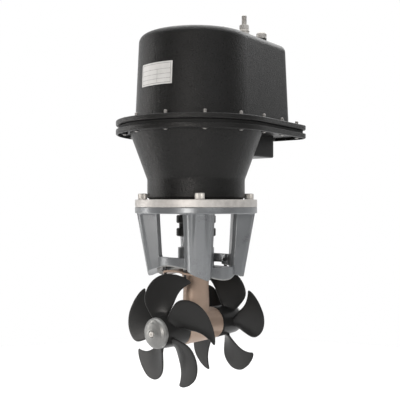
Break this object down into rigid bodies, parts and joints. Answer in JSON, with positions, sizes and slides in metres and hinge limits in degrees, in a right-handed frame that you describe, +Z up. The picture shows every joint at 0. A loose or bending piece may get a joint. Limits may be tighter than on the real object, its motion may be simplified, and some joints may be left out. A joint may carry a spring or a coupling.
{
  "type": "bow thruster",
  "caption": "Electric tunnel bow thruster: sealed motor cover, cast bracket, bronze gear leg and two skewed multi-blade propellers on one shaft",
  "frame": {"origin": "where the vertical motor axis meets the propeller shaft axis, which is the centre of the tunnel", "axes": "+Z up along the motor axis; Y along the tunnel, with the front propeller at -Y and the flat end of the cover at +Y"},
  "size_m": [0.2958, 0.3439, 0.6843],
  "materials": {
    "housing_black": "textured satin black powder coat",
    "plate_aluminium": "machined",
    "bracket_grey": "grey coated casting",
    "bronze": "cast bronze",
    "prop_black": "satin moulded composite",
    "zinc": "dull cast zinc",
    "stainless": "stainless steel",
    "steel": "oiled steel",
    "yoke_black": "painted steel",
    "copper": "copper",
    "nickel": "nickel-plated brass",
    "rubber": "black rubber",
    "saddle_gasket": "light grey fibre gasket",
    "plastic_black": "moulded plastic",
    "label": "blank silver-grey film"
  },
  "bodies": {
    "frame": {"bearing_spacer": "steel", "brush_holder": "plastic_black", "brushes": "plastic_black", "bus_bars": "copper", "changeover_relays": "yoke_black", "collar_seal": "rubber", "control_unit": "plastic_black", "cover_gasket": "rubber", "data_plate": "label", "drive_shaft_bearings": "steel", "drive_shaft_seal": "rubber", "field_magnets": "steel", "flange_nuts": "stainless", "flange_studs": "stainless", "flange_washers": "stainless", "gear_leg": "bronze", "gland_body": "plastic_black", "gland_cap": "nickel", "leg_screws": "stainless", "lower_housing": "housing_black", "motor_bearings": "steel", "motor_bracket": "bracket_grey", "motor_end_frame": "plate_aluminium", "motor_plate": "plate_aluminium", "motor_through_bolts": "stainless", "motor_top_cap": "plate_aluminium", "motor_yoke": "yoke_black", "neck_o_ring": "rubber", "plate_bolts": "stainless", "plate_washers": "stainless", "prop_shaft_bearings": "steel", "prop_shaft_seals": "rubber", "saddle_gasket": "saddle_gasket", "shaft_carriers": "bronze", "terminal_bolts": "nickel", "terminal_insulators": "plastic_black", "terminal_nuts": "nickel", "terminal_washers": "stainless", "top_cover": "housing_black"},
    "drive_line": {"motor_shaft": "steel", "armature_core": "steel", "armature_windings": "copper", "commutator": "copper", "coupling_upper": "yoke_black", "coupling_element": "rubber", "coupling_pins": "stainless", "coupling_lower": "yoke_black", "drive_shaft": "stainless", "bevel_pinion": "steel"},
    "prop_line": {"prop_shaft": "stainless", "crown_gear": "steel", "shaft_spacer": "steel", "propeller_front": "prop_black", "propeller_rear": "prop_black", "drive_pins": "stainless", "prop_washers": "stainless", "prop_nuts": "stainless", "anodes": "zinc", "anode_screws": "stainless"}
  },
  "joints": [
    {"name": "motor_spin", "type": "hinge", "parent": "frame", "child": "drive_line", "pos_m": [0, 0, 0.2], "axis": [0, 0, 1], "continuous": true},
    {"name": "propeller_spin", "type": "hinge", "parent": "frame", "child": "prop_line", "pos_m": [0, 0, 0], "axis": [0, 1, 0], "continuous": true}
  ],
  "couplings": [
    {"joint": "propeller_spin", "follows": "motor_spin", "ratio": 0.66667}
  ]
}
